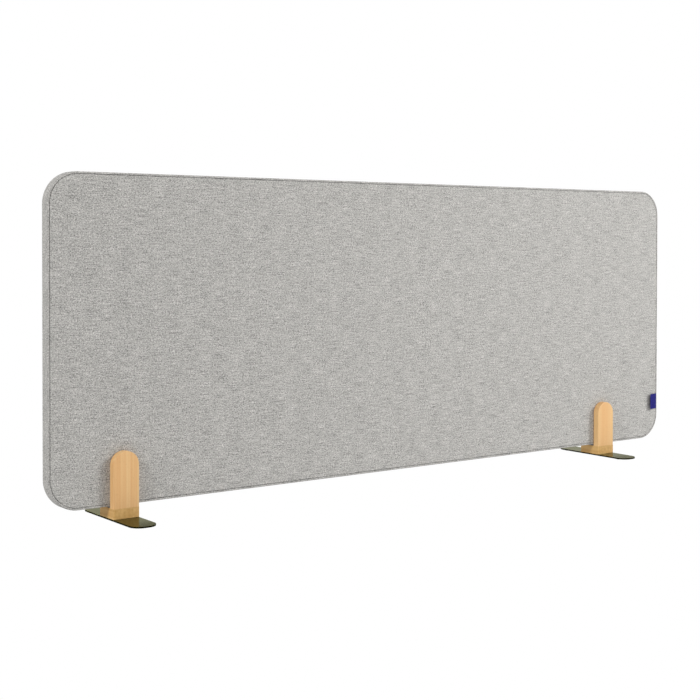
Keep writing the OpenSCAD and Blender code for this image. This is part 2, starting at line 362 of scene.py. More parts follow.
@dataclass(frozen=True)
class MelangeCloth(Finish):
    """Plain-woven melange cloth of heathered light and dark grey yarns."""

    thread: float = 1.1 * MM
    fleck_length: float = 5.0 * MM
    yarn_depth: float = 0.22 * MM
    wobble_scale: float = 140.0
    warp_wobble: float = 0.5
    weft_wobble: float = 0.4
    warp_seed: float = 5.17
    weft_seed: float = 7.31
    warp_layer: float = 3.0
    fleck_scale: Triple = (360.0, 680.0, 1.0)
    slub_scale: Triple = (30.0, 900.0, 1.0)
    fibre_scale: Triple = (2600.0, 2600.0, 1.0)
    drift_scale: float = 28.0
    tuft_weight: float = 0.32
    yarn_weight: float = 0.58
    fleck_weight: float = 1.0
    slub_weight: float = 0.6
    drift_weight: float = 0.10
    float_end: float = 0.45
    fibre_height: float = 0.35
    # Painted shade in the hollows between yarn floats: float heights that map to a darker or lighter base
    # colour.
    painted_hollow_heights: Pair = (0.05, 0.65)
    painted_hollow_shades: Pair = (0.80, 1.03)
    # Painted seam shade: how far the base colour darkens at the bottom of a seam groove.
    painted_seam_shade: float = 0.75
    rough: Pair = (0.86, 0.97)
    tone_stops: Triple = (0.12, 0.5, 0.88)
    dark: Colour = (0.1255, 0.1245, 0.120)
    middle: Colour = (0.441, 0.431, 0.409)
    light: Colour = (0.779, 0.759, 0.730)

    def dress(self, recipe: Recipe) -> None:
        """Weave the yarns: a tone along each yarn, who lies on top in each cell, and its rounded float, with
        painted shade that darkens the hollows between floats and the seam grooves.

        Args:
            recipe: Material to fill.
        """
        place = recipe.weave_place()
        u, v, _ = recipe.parts(place)
        wobble = recipe.noise(place, self.wobble_scale, 1.0) - 0.5
        along_u = u / self.thread + wobble * self.warp_wobble
        along_v = v / self.thread + wobble * self.weft_wobble
        column, row = along_u.apply("FLOOR"), along_v.apply("FLOOR")
        across_u, across_v = along_u.apply("FRACT"), along_v.apply("FRACT")
        weft_on_top = ((column + row) * 0.5).apply("FRACT") * 2.0
        weft_place = recipe.joined(u / self.fleck_length, row * self.weft_seed)
        warp_place = recipe.joined(column * self.warp_seed, v / self.fleck_length * 2.0, self.warp_layer)
        weft_tone = recipe.noise(weft_place, 1.0, 1.0)
        warp_tone = recipe.noise(warp_place, 1.0, 1.0)
        yarns = warp_tone + (weft_tone - warp_tone) * weft_on_top - 0.5
        tufts = recipe.speckle(recipe.joined(column, row)) - 0.5
        flecks = recipe.drawn_noise(place, self.fleck_scale, 1.0) - 0.5
        slubs = recipe.drawn_noise(place, self.slub_scale, 1.0) - 0.5
        drift = recipe.noise(place, self.drift_scale, 3.0) - 0.5
        fine = tufts * self.tuft_weight + yarns * self.yarn_weight + flecks * self.fleck_weight
        tone = 0.5 + fine + slubs * self.slub_weight + drift * self.drift_weight
        colour = recipe.ramp(tone, list(zip(self.tone_stops, (self.dark, self.middle, self.light))))
        weft_float = self.yarn_float(across_v, across_u)
        warp_float = self.yarn_float(across_u, across_v)
        height = warp_float + (weft_float - warp_float) * weft_on_top
        # Painted shade: the seam mask darkens the base colour down in the seam grooves.
        painted_seam_mask = recipe.node("ShaderNodeAttribute", {"attribute_name": PAINTED_SEAM_SHADE_LAYER}, {}, "Fac")
        # Painted shade: the base colour darkens where the yarn floats lie low.
        painted_hollow_shade = recipe.spread(height, *self.painted_hollow_heights, *self.painted_hollow_shades)
        painted_shade = painted_hollow_shade * (1.0 - painted_seam_mask * self.painted_seam_shade)
        fibres = recipe.drawn_noise(place, self.fibre_scale, 2.0)
        recipe.feed(Base_Color=recipe.mixed(1.0, colour, recipe.joined(painted_shade, painted_shade, painted_shade), "MULTIPLY"),
                    Roughness=recipe.between(fibres, self.rough),
                    Normal=recipe.bump(height + fibres * self.fibre_height, self.yarn_depth, strength=0.55),
                    Specular_IOR_Level=0.25, Sheen_Weight=0.12, Sheen_Roughness=0.5)

    def yarn_float(self, across: Signal, along: Signal) -> Signal:
        """Height of a yarn where it lies on top, round across the yarn and lower at both ends.

        Args:
            across: Share of the way across the yarn.
            along: Share of the way along the float.

        Returns:
            The height, from 0 to 1.
        """
        ends = self.float_end + (1.0 - self.float_end) * (along * math.pi).apply("SINE")
        return (across * math.pi).apply("SINE") * ends


@dataclass(frozen=True)
class NeedleFelt(Finish):
    """Needled felt with a mottled tone and matted fibres."""

    dark: Colour = (0.10, 0.10, 0.105)
    light: Colour = (0.26, 0.26, 0.27)
    matted_turn: Triple = (0.3, 0.5, 0.6)
    matted_scale: Triple = (420.0, 1500.0, 1300.0)
    crossed_turn: Triple = (0.9, 0.2, -0.7)
    crossed_scale: Triple = (1500.0, 1300.0, 420.0)
    mottle_scale: float = 60.0
    fibre_weight: float = 0.4
    mottle_weight: float = 0.2
    tone_range: Pair = (0.34, 0.66)
    fibre_depth: float = 0.25 * MM

    def dress(self, recipe: Recipe) -> None:
        """Mat long fibres in two directions over a soft mottle.

        Args:
            recipe: Material to fill.
        """
        place = recipe.object_place()
        matted = recipe.drawn_noise(place, self.matted_scale, 3.0, turn=self.matted_turn)
        crossed = recipe.drawn_noise(place, self.crossed_scale, 3.0, turn=self.crossed_turn)
        mottle = recipe.noise(place, self.mottle_scale, 2.0)
        fibres = matted * self.fibre_weight + crossed * self.fibre_weight
        tone = recipe.spread(fibres + mottle * self.mottle_weight, *self.tone_range)
        recipe.feed(Base_Color=recipe.mixed(tone, self.dark, self.light), Roughness=0.95,
                    Normal=recipe.bump(matted + crossed, self.fibre_depth, strength=0.6),
                    Specular_IOR_Level=0.2, Sheen_Weight=0.2, Sheen_Roughness=0.6)


@dataclass(frozen=True)
class PolyesterFleece(Finish):
    """White bonded fleece of crimped fibres."""

    # Painted shade: the darker colour goes where lumps and fibres lie low, in their hollows.
    painted_shade: Colour = (0.58, 0.58, 0.56)
    light: Colour = (0.86, 0.86, 0.84)
    lump_scale: float = 55.0
    lump_weight: float = 0.45
    lump_height: float = 0.7
    fibre_turn: Triple = (0.4, 0.8, 0.3)
    fibre_scale: Triple = (260.0, 1400.0, 900.0)
    fibre_weight: float = 0.55
    tone_range: Pair = (0.32, 0.68)
    fibre_depth: float = 0.6 * MM

    def dress(self, recipe: Recipe) -> None:
        """Cross fine fibres over soft lumps, with painted shade darker where they lie low.

        Args:
            recipe: Material to fill.
        """
        place = recipe.object_place()
        lumps = recipe.noise(place, self.lump_scale, 3.0)
        fibres = recipe.drawn_noise(place, self.fibre_scale, 4.0, 0.6, self.fibre_turn)
        tone = recipe.spread(lumps * self.lump_weight + fibres * self.fibre_weight, *self.tone_range)
        recipe.feed(Base_Color=recipe.mixed(tone, self.painted_shade, self.light), Roughness=0.98,
                    Normal=recipe.bump(lumps * self.lump_height + fibres, self.fibre_depth, strength=0.8),
                    Specular_IOR_Level=0.2, Sheen_Weight=0.25, Sheen_Roughness=0.5)


@dataclass(frozen=True)
class ClosureTape(Finish):
    """Knitted tape set with rows of small hooks or loops."""

    pile_pitch: float = 1.1 * MM
    pile_depth: float = 0.5 * MM
    tuft_range: Pair = (0.1, 0.6)
    thread_scale: float = 2200.0
    thread_height: float = 0.3
    rough: Pair = (0.55, 0.85)
    ground: Colour = (0.035, 0.036, 0.04)
    pile: Colour = (0.12, 0.12, 0.13)

    def dress(self, recipe: Recipe) -> None:
        """Stand the pile up in cells on a darker ground.

        Args:
            recipe: Material to fill.
        """
        place = recipe.object_place()
        tufts = recipe.spread(recipe.cells(place, 1.0 / self.pile_pitch), *self.tuft_range, 1.0, 0.0)
        threads = recipe.noise(place, self.thread_scale, 2.0)
        recipe.feed(Base_Color=recipe.mixed(tufts, self.ground, self.pile),
                    Roughness=recipe.between(threads, self.rough),
                    Normal=recipe.bump(tufts + threads * self.thread_height, self.pile_depth, strength=0.8),
                    Sheen_Weight=0.1)


@dataclass(frozen=True)
class LabelSatin(Finish):
    """Blue satin-woven label ribbon with fine ribs along its length."""

    rib: float = 0.45 * MM
    rib_depth: float = 0.05 * MM
    rib_weight: float = 0.35
    twist_scale: Triple = (900.0, 4200.0, 1.0)
    twist_weight: float = 0.35
    twist_height: float = 0.4
    drift_scale: float = 70.0
    drift_weight: float = 0.3
    tone_range: Pair = (0.2, 0.75)
    rough: Pair = (0.42, 0.6)
    deep: Colour = (0.009, 0.009, 0.115)
    bright: Colour = (0.0175, 0.0155, 0.200)

    def dress(self, recipe: Recipe) -> None:
        """Rib the ribbon across, with a slight drift of its tone.

        Args:
            recipe: Material to fill.
        """
        place = recipe.weave_place()
        _, v, _ = recipe.parts(place)
        ribs = (v * (math.tau / self.rib)).apply("SINE") * 0.5 + 0.5
        twists = recipe.drawn_noise(place, self.twist_scale, 2.0)
        drift = recipe.noise(place, self.drift_scale, 2.0)
        weave = ribs * self.rib_weight + twists * self.twist_weight
        tone = recipe.spread(weave + drift * self.drift_weight, *self.tone_range)
        recipe.feed(Base_Color=recipe.mixed(tone, self.deep, self.bright),
                    Roughness=recipe.between(twists, self.rough),
                    Normal=recipe.bump(ribs + twists * self.twist_height, self.rib_depth, strength=0.6),
                    Specular_IOR_Level=0.12)


@dataclass(frozen=True)
class Wood(Finish):
    """Wood whose year rings lie round a heart line that runs along the grain, beside the piece."""

    grain: Grain = Grain.ALONG_Z
    ring: float = 5.5 * MM
    heart: Pair = (-0.09, 0.14)
    sway: float = 12.0 * MM
    sway_scale: Triple = (14.0, 14.0, 3.5)

    def rings(self, recipe: Recipe) -> tuple[Signal, Signal]:
        """Lay the grain and its year rings.

        Args:
            recipe: Material to fill.

        Returns:
            Coordinates with the grain along Z, and the share of the year's growth at each point.
        """
        place = recipe.moved(recipe.object_place(), turn=self.grain.value)
        x, y, _ = recipe.parts(place)
        sway = recipe.drawn_noise(place, self.sway_scale, 2.0) - 0.5
        from_heart = ((x - self.heart[0]) ** 2.0 + (y - self.heart[1]) ** 2.0) ** 0.5
        return place, ((from_heart + sway * self.sway) / self.ring).apply("FRACT")


@dataclass(frozen=True)
class Beech(Wood):
    """Clear-varnished beech with soft year rings, short pores and ray flecks."""

    late_range: Pair = (0.55, 0.97)
    late_weight: float = 0.10
    streak_scale: Triple = (240.0, 240.0, 5.0)
    streak_weight: float = 0.35
    streak_height: float = 0.5
    band_scale: Triple = (130.0, 130.0, 2.6)
    band_weight: float = 0.70
    tone_range: Pair = (0.36, 0.76)
    pore_scale: Triple = (3300.0, 3300.0, 240.0)
    pore_range: Pair = (0.64, 0.74)
    pore_share: float = 0.3
    pore_height: float = 0.6
    ray_scale: Triple = (1500.0, 700.0, 190.0)
    ray_range: Pair = (0.66, 0.76)
    ray_share: float = 0.22
    relief: float = 0.08 * MM
    rough: Pair = (0.42, 0.54)
    pale: Colour = (0.775, 0.507, 0.237)
    warm: Colour = (0.720, 0.395, 0.158)
    pore: Colour = (0.42, 0.215, 0.085)

    def dress(self, recipe: Recipe) -> None:
        """Lay rings, streaks, pores and flecks along the grain.

        Args:
            recipe: Material to fill.
        """
        place, year = self.rings(recipe)
        late_wood = recipe.spread(year, *self.late_range)
        streaks = recipe.drawn_noise(place, self.streak_scale, 3.0, 0.6)
        bands = recipe.drawn_noise(place, self.band_scale, 1.0)
        lines = late_wood * self.late_weight + streaks * self.streak_weight
        tone = recipe.spread(lines + bands * self.band_weight, *self.tone_range)
        pits = recipe.spread(recipe.drawn_noise(place, self.pore_scale, 1.0), *self.pore_range)
        rays = recipe.spread(recipe.drawn_noise(place, self.ray_scale, 0.0), *self.ray_range)
        wood = recipe.mixed(tone, self.pale, self.warm)
        pored = recipe.mixed(pits * self.pore_share, wood, self.pore)
        height = streaks * self.streak_height - pits * self.pore_height
        recipe.feed(Base_Color=recipe.mixed(rays * self.ray_share, pored, self.pore),
                    Roughness=recipe.between(streaks, self.rough),
                    Normal=recipe.bump(height, self.relief, strength=0.5),
                    Specular_IOR_Level=0.4, Coat_Weight=0.12, Coat_Roughness=0.25)


@dataclass(frozen=True)
class Pine(Wood):
    """Planed pine with clear year rings and streaks of resin."""

    ring: float = 4.0 * MM
    heart: Pair = (-0.13, 0.05)
    sway: float = 16.0 * MM
    sway_scale: Triple = (10.0, 10.0, 2.2)
    late_edge: float = 2.2
    late_range: Pair = (0.1, 0.95)
    late_weight: float = 0.7
    streak_scale: Triple = (500.0, 500.0, 9.0)
    streak_weight: float = 0.4
    tone_range: Pair = (0.15, 1.0)
    relief: float = 0.1 * MM
    rough: Pair = (0.5, 0.68)
    pale: Colour = (0.78, 0.60, 0.36)
    late: Colour = (0.60, 0.36, 0.16)

    def dress(self, recipe: Recipe) -> None:
        """Lay sharp-edged year rings along the grain.

        Args:
            recipe: Material to fill.
        """
        place, year = self.rings(recipe)
        late_wood = recipe.spread(year ** self.late_edge, *self.late_range)
        streaks = recipe.drawn_noise(place, self.streak_scale, 3.0)
        lines = late_wood * self.late_weight + streaks * self.streak_weight
        tone = recipe.spread(lines, *self.tone_range)
        recipe.feed(Base_Color=recipe.mixed(tone, self.pale, self.late),
                    Roughness=recipe.between(streaks, self.rough),
                    Normal=recipe.bump(streaks, self.relief, strength=0.5), Specular_IOR_Level=0.4)


@dataclass(frozen=True)
class GlossSteel(Finish):
    """Dark olive powder coat with a gloss, a faint orange peel and fine rub marks."""

    deep: Colour = (0.028, 0.028, 0.004)
    worn: Colour = (0.042, 0.040, 0.008)
    edge_tint: Colour = (0.88, 0.88, 0.67)
    peel_scale: float = 900.0
    peel_depth: float = 0.02 * MM
    rub_turn: Triple = (0.0, 0.0, 0.5)
    rub_scale: Triple = (60.0, 900.0, 60.0)
    rub_weight: float = 0.4
    drift_scale: float = 35.0
    drift_weight: float = 0.6
    wear_range: Pair = (0.35, 0.7)
    gloss: Pair = (0.16, 0.26)

    def dress(self, recipe: Recipe) -> None:
        """Vary the gloss and tone a little, over a fine peel.

        Args:
            recipe: Material to fill.
        """
        place = recipe.object_place()
        peel = recipe.noise(place, self.peel_scale, 2.0)
        rubs = recipe.drawn_noise(place, self.rub_scale, 3.0, turn=self.rub_turn)
        drift = recipe.noise(place, self.drift_scale, 2.0)
        wear = recipe.spread(drift * self.drift_weight + rubs * self.rub_weight, *self.wear_range)
        recipe.feed(Base_Color=recipe.mixed(wear, self.deep, self.worn),
                    Roughness=recipe.spread(rubs, *self.wear_range, *self.gloss),
                    Normal=recipe.bump(peel, self.peel_depth, strength=0.35),
                    Metallic=1.0, Specular_Tint=self.edge_tint)


@dataclass(frozen=True)
class ZincSteel(Finish):
    """Zinc-plated steel of the screws."""

    bright: Colour = (0.62, 0.63, 0.66)
    dull: Colour = (0.38, 0.38, 0.40)
    cloud_scale: float = 420.0
    turned_scale: Triple = (300.0, 300.0, 5200.0)
    turned_depth: float = 0.03 * MM
    rough: Pair = (0.28, 0.45)

    def dress(self, recipe: Recipe) -> None:
        """Cloud the plating over faint turning marks.

        Args:
            recipe: Material to fill.
        """
        place = recipe.object_place()
        clouds = recipe.noise(place, self.cloud_scale, 3.0)
        turned = recipe.drawn_noise(place, self.turned_scale, 1.0)
        recipe.feed(Base_Color=recipe.mixed(recipe.between(clouds, (0.0, 1.0)), self.dull, self.bright),
                    Roughness=recipe.between(clouds, self.rough),
                    Normal=recipe.bump(turned, self.turned_depth, strength=0.4), Metallic=1.0)


@dataclass(frozen=True)
class PadRubber(Finish):
    """Black non-slip rubber with a pebbled skin."""

    dark: Colour = (0.010, 0.010, 0.010)
    dusty: Colour = (0.030, 0.030, 0.029)
    pebble_scale: float = 1500.0
    pebble_depth: float = 0.1 * MM
    dust_scale: float = 260.0
    dust_range: Pair = (0.4, 0.7)
    rough: Pair = (0.7, 0.9)

    def dress(self, recipe: Recipe) -> None:
        """Pebble the skin and dust it slightly.

        Args:
            recipe: Material to fill.
        """
        place = recipe.object_place()
        pebbles = recipe.cells(place, self.pebble_scale)
        dust = recipe.noise(place, self.dust_scale, 3.0)
        recipe.feed(Base_Color=recipe.mixed(recipe.spread(dust, *self.dust_range), self.dark, self.dusty),
                    Roughness=recipe.between(dust, self.rough),
                    Normal=recipe.bump(pebbles, self.pebble_depth, strength=0.6))


@dataclass(frozen=True)
class WhiteGlow(Finish):
    """Even glow that the camera sees as pure white."""

    mirrored: float = 0.20
    elsewhere: float = 0.76

    def dress(self, recipe: Recipe) -> None:
        """Light the surface instead of shading it.

        Args:
            recipe: Material to fill.
        """
        strength = recipe.seen_white(self.mirrored, self.elsewhere)
        glow = recipe.node("ShaderNodeEmission", {}, {"Strength": strength})
        output = next(n for n in recipe.tree.nodes if n.type == "OUTPUT_MATERIAL")
        recipe.tree.links.new(glow.socket, output.inputs["Surface"])


CLOTH = MelangeCloth("melange_cloth")
FELT = NeedleFelt("needle_felt")
FLEECE = PolyesterFleece("bonded_fleece")
HOOKS = ClosureTape("hook_pile", pile_pitch=0.9 * MM, pile_depth=0.6 * MM)
LOOPS = ClosureTape("loop_pile", pile_pitch=0.6 * MM, pile_depth=0.35 * MM, pile=(0.16, 0.16, 0.17))
LABEL = LabelSatin("label_satin")
STAVE_BEECH = Beech("stave_beech")
BLOCK_BEECH = Beech("block_beech", grain=Grain.ALONG_Y, heart=(0.03, 0.05), ring=3.2 * MM,
                    pale=(0.70, 0.44, 0.165), warm=(0.55, 0.305, 0.088))
DOWEL_BEECH = Beech("dowel_beech", ring=2.5 * MM, pale=(0.76, 0.56, 0.34), warm=(0.66, 0.44, 0.23))
FRAME_DOWEL_BEECH = replace(DOWEL_BEECH, name="frame_dowel_beech", grain=Grain.ALONG_X)
RAIL_PINE = Pine("rail_pine", grain=Grain.ALONG_X)
STILE_PINE = Pine("stile_pine")
STEEL = GlossSteel("plate_coat")
ZINC = ZincSteel("screw_zinc")
RUBBER = PadRubber("pebbled_rubber")
FLOOR_WHITE = WhiteGlow("floor_white")


# Shared mesh work


def link_object(name: str, data: bpy.types.ID) -> bpy.types.Object:
    """Make an object and link it to the scene.

    Args:
        name: Its name.
        data: Mesh, camera or light that it shows.

    Returns:
        The new object.
    """
    made = bpy.data.objects.new(name, data)
    bpy.context.scene.collection.objects.link(made)
    return made


def link_mesh(name: str, mesh: bmesh.types.BMesh, finish: Finish) -> bpy.types.Object:
    """Make an object from a finished mesh.

    Args:
        name: Its name.
        mesh: Finished mesh, which is freed.
        finish: Finish that it wears.

    Returns:
        The new object.
    """
    data = bpy.data.meshes.new(name)
    mesh.to_mesh(data)
    mesh.free()
    data.materials.append(finish.material())
    return link_object(name, data)


def everything(mesh: bmesh.types.BMesh) -> list:
    """All points, edges and faces of a mesh."""
    return mesh.verts[:] + mesh.edges[:] + mesh.faces[:]


def round_off(mesh: bmesh.types.BMesh, geom: list, offset: float, segments: int, affect: str = "EDGES",
              clamp: bool = False) -> list[bmesh.types.BMVert]:
    """Round edges or corners.

    Args:
        mesh: Mesh to work on.
        geom: Edges, or points where corners are rounded.
        offset: Distance from the old edge to where the round begins.
        segments: Steps of the round.
        affect: EDGES or VERTICES.
        clamp: Keep rounds from crossing each other.

    Returns:
        The points of the rounds.
    """
    return bmesh.ops.bevel(mesh, geom=geom, offset=offset, affect=affect, segments=segments, profile=0.5,
                           material=-1, clamp_overlap=clamp)["verts"]


def add_block(mesh: bmesh.types.BMesh, low: Vector, high: Vector) -> None:
    """Fill an empty mesh with a plain block.

    Args:
        mesh: Mesh to fill.
        low: Lowest corner.
        high: Highest corner.
    """
    bmesh.ops.create_cube(mesh, size=1.0)
    bmesh.ops.scale(mesh, vec=high - low, verts=mesh.verts)
    bmesh.ops.translate(mesh, vec=(low + high) / 2, verts=mesh.verts)


def soft_slab(mesh: bmesh.types.BMesh, low: Vector, high: Vector, corner: float, edge: float) -> None:
    """Fill an empty mesh with a flat slab in the XY plane, with round corners and softened edges.

    Args:
        mesh: Mesh to fill.
        low: Lowest corner.
        high: Highest corner.
        corner: Radius of its four upright corners.
        edge: Radius of its other edges.
    """
    add_block(mesh, low, high)
    upright = [e for e in mesh.edges if abs((e.verts[0].co - e.verts[1].co).normalized().z) > UPRIGHT_OVER]
    round_off(mesh, upright, corner, SLAB_CORNER_STEPS)
    rims = [e for e in mesh.edges if e.calc_face_angle(0.0) > RIM_OVER]
    round_off(mesh, rims, edge, SLAB_EDGE_STEPS)


def draw_out(mesh: bmesh.types.BMesh, points: Iterable[Triple], way: Vector, steps: int) -> None:
    """Join points to a line and draw it out to an open sheet.

    Args:
        mesh: Empty mesh.
        points: Points of the line, in order.
        way: Direction and length of the sheet.
        steps: Number of even steps along it.
    """
    line = [mesh.verts.new(point) for point in points]
    for first, second in zip(line, line[1:]):
        mesh.edges.new((first, second))
    bmesh.ops.spin(mesh, geom=mesh.verts[:] + mesh.edges[:], angle=0.0, steps=steps, axis=way.normalized(),
                   dvec=way / steps)


def half_turn(mesh: bmesh.types.BMesh) -> None:
    """Turn a mesh round Z from the panel's front to its back."""
    bmesh.ops.rotate(mesh, cent=(0, 0, 0), matrix=Matrix.Rotation(math.pi, 3, "Z"), verts=mesh.verts)


def quarter_angles(steps: int) -> list[float]:
    """Angles of a quarter turn in even steps, both ends included."""
    return [math.pi / 2 * i / steps for i in range(steps + 1)]


def quarter_round(width: float, height: float, steps: int) -> list[Pair]:
    """Steps of a quarter of an ellipse that leaves a wall and ends level.

    Args:
        width: Its inset in all.
        height: Its rise in all.
        steps: Number of steps.

    Returns:
        Pairs of inset and rise for each step.
    """
    inset = [width * (1 - math.cos(a)) for a in quarter_angles(steps)]
    rise = [height * math.sin(a) for a in quarter_angles(steps)]
    return [(inset[i + 1] - inset[i], rise[i + 1] - rise[i]) for i in range(steps)]


def step_inwards(mesh: bmesh.types.BMesh, face: bmesh.types.BMFace, steps: Iterable[Pair]) -> None:
    """Inset a face that looks to the front step by step, and move it along Y each time.

    Args:
        mesh: Mesh of the face.
        face: Face that shrinks.
        steps: Pairs of inset and rise; a rise goes towards the front.
    """
    for inset, rise in steps:
        bmesh.ops.inset_region(mesh, faces=[face], thickness=inset, use_even_offset=True, use_boundary=True)
        bmesh.ops.translate(mesh, vec=(0, -rise, 0), verts=face.verts[:])


def cut_plane(mesh: bmesh.types.BMesh, place: Vector, normal: Vector) -> None:
    """Cut the whole mesh along a plane, and keep both sides."""
    bmesh.ops.bisect_plane(mesh, geom=everything(mesh), dist=CUT_SNAP, plane_co=place, plane_no=normal)


def slice_mesh(mesh: bmesh.types.BMesh, axis: Vector, low: float, high: float, pitch: float) -> None:
    """Cut the whole mesh at even distances along an axis.

    Args:
        mesh: Mesh to cut.
        axis: Direction across the cuts.
        low: Where the cut stretch begins.
        high: Where it ends.
        pitch: Distance between cuts, at most.
    """
    count = math.ceil((high - low) / pitch)
    for i in range(1, count):
        cut_plane(mesh, axis * (low + (high - low) * i / count), axis)


def clear_strip(mesh: bmesh.types.BMesh, half_width: float, top_z: float) -> None:
    """Delete the faces in the middle of the panel's lower part.

    Args:
        mesh: Mesh that is already cut along the strip's edges.
        half_width: Half of the strip's width.
        top_z: Height of its upper edge.
    """
    middles = [(face, face.calc_center_median()) for face in mesh.faces]
    gone = [face for face, middle in middles if abs(middle.x) < half_width and middle.z < top_z]
    bmesh.ops.delete(mesh, geom=gone, context="FACES")


def ripple(place: Vector) -> float:
    """Smooth noise from 0 to 1."""
    return 0.5 + 0.5 * noise.noise(place)


def bell(distance: float, width: float) -> float:
    """Share that falls off smoothly on both sides of a line."""
    return math.exp(-(distance / width) ** 2)


def add_weave_map(mesh: bmesh.types.BMesh, place: Callable[[Vector], Pair]) -> None:
    """Give each corner its place on the cloth, in metres.

    Args:
        mesh: Mesh of the cloth.
        place: Function from a point to its place on the cloth.
    """
    layer = mesh.loops.layers.uv.new(WEAVE_MAP)
    for face in mesh.faces:
        for loop in face.loops:
            loop[layer].uv = place(loop.vert.co)


def add_painted_seam_mask(mesh: bmesh.types.BMesh, depth_at: Callable[[Vector], float]) -> None:
    """Mark how deep each point lies in a seam, from 0 on the open cloth to 1 at the bottom, as the mask of
    the painted shade that darkens the cloth in the seam groove.

    Args:
        mesh: Mesh of the cloth.
        depth_at: Function from a point to its share of the seam's depth.
    """
    layer = mesh.verts.layers.float.new(PAINTED_SEAM_SHADE_LAYER)
    for vert in mesh.verts:
        vert[layer] = min(max(depth_at(vert.co), 0.0), 1.0)


def thicken(mesh: bmesh.types.BMesh, thickness: float) -> None:
    """Turn an open sheet whose faces look outwards into a closed shell that grows inwards."""
    bmesh.ops.solidify(mesh, geom=mesh.faces[:], thickness=thickness)


@dataclass(frozen=True)
class Outline:
    """Rounded outline of the panel, standing in the XZ plane."""

    half_width: float
    half_height: float
    middle_z: float
    radius: float = 58.0 * MM
    arc_segments: int = 28

    @classmethod
    def of_band(cls) -> "Outline":
        """The outline of the CAD's edge band."""
        low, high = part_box("edge_band")
        return cls((high.x - low.x) / 2, (high.z - low.z) / 2, (high.z + low.z) / 2)

    @property
    def low_z(self) -> float:
        """Height of the lower edge."""
        return self.middle_z - self.half_height

    def face(self, mesh: bmesh.types.BMesh, inset: float, y: float) -> bmesh.types.BMFace:
        """Make the outline's face, looking to the front.

        Args:
            mesh: Mesh to add it to.
            inset: Distance inside the outline.
            y: Its depth.

        Returns:
            The new face.
        """
        made = bmesh.ops.create_grid(mesh, x_segments=1, y_segments=1, size=1.0)["verts"]
        size = (self.half_width - inset, self.half_height - inset, 1.0)
        bmesh.ops.scale(mesh, vec=size, verts=made)
        rounded = round_off(mesh, made, self.radius - inset, self.arc_segments, "VERTICES")
        bmesh.ops.rotate(mesh, cent=(0, 0, 0), matrix=Matrix.Rotation(math.pi / 2, 3, "X"), verts=rounded)
        bmesh.ops.translate(mesh, vec=(0, y, self.middle_z), verts=rounded)
        return rounded[0].link_faces[0]

    def slice_all(self, mesh: bmesh.types.BMesh, pitch: float) -> None:
        """Cut a mesh upright and level over the whole outline.

        Args:
            mesh: Mesh to cut.
            pitch: Distance between cuts, at most.
        """
        slice_mesh(mesh, X_AXIS, -self.half_width, self.half_width, pitch)
        slice_mesh(mesh, Z_AXIS, self.low_z, self.low_z + 2 * self.half_height, pitch)

    def place(self, x: float, z: float) -> Pair:
        """Find a point along and inside the outline.

        Args:
            x: Its X.
            z: Its Z.

        Returns:
            Distance along the outline, counted from the middle of the lower edge and signed as X, and
            distance inside it.
        """
        side = 1.0 if x >= 0 else -1.0
        straight_x, straight_z = self.half_width - self.radius, self.half_height - self.radius
        dx, dz = abs(x) - straight_x, z - self.middle_z
        over_z = abs(dz) - straight_z
        arc = self.radius * math.pi / 2
        if dx > 0 and over_z > 0:
            angle = math.atan2(dx, over_z) if dz < 0 else math.atan2(over_z, dx)
            start = straight_x if dz < 0 else straight_x + arc + 2 * straight_z
            return side * (start + angle * self.radius), self.radius - math.hypot(dx, over_z)
        if dx > over_z:
            return side * (straight_x + arc + dz + straight_z), self.radius - dx
        if dz < 0:
            return side * abs(x), self.radius - over_z
        return side * (2 * (straight_x + arc + straight_z) - abs(x)), self.radius - over_z


@dataclass(frozen=True)
class Piece:
    """What a finished piece is called, wears, belongs to and stands for."""

    name: str
    finish: Finish
    slot: Slot
    body: Body
    node: str
    sharp_over: float = 40.0

    def settle(self, mesh: bmesh.types.BMesh) -> bpy.types.Object:
        """Make the object of this piece from its mesh, dress it and hand it to the frame.

        Args:
            mesh: Finished mesh, which is freed.

        Returns:
            The new object.
        """
        made = link_mesh(self.name, mesh, self.finish)
        made.data.shade_smooth()
        made.data.set_sharp_from_angle(angle=math.radians(self.sharp_over))
        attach(made, self.body.value)
        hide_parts(self.node)
        LOG.info("%s: %d faces, rides on %s", self.name, len(made.data.polygons), self.body.value)
        return made


def dress_node(node: bpy.types.Object, finish: Finish) -> None:
    """Give a CAD node its finish.

    Args:
        node: Object of the node.
        finish: Finish that it wears.
    """
    node.data.materials.clear()
    node.data.materials.append(finish.material())
    LOG.info("%s: CAD node in %s", node.name, finish.name)


# Sub-assemblies


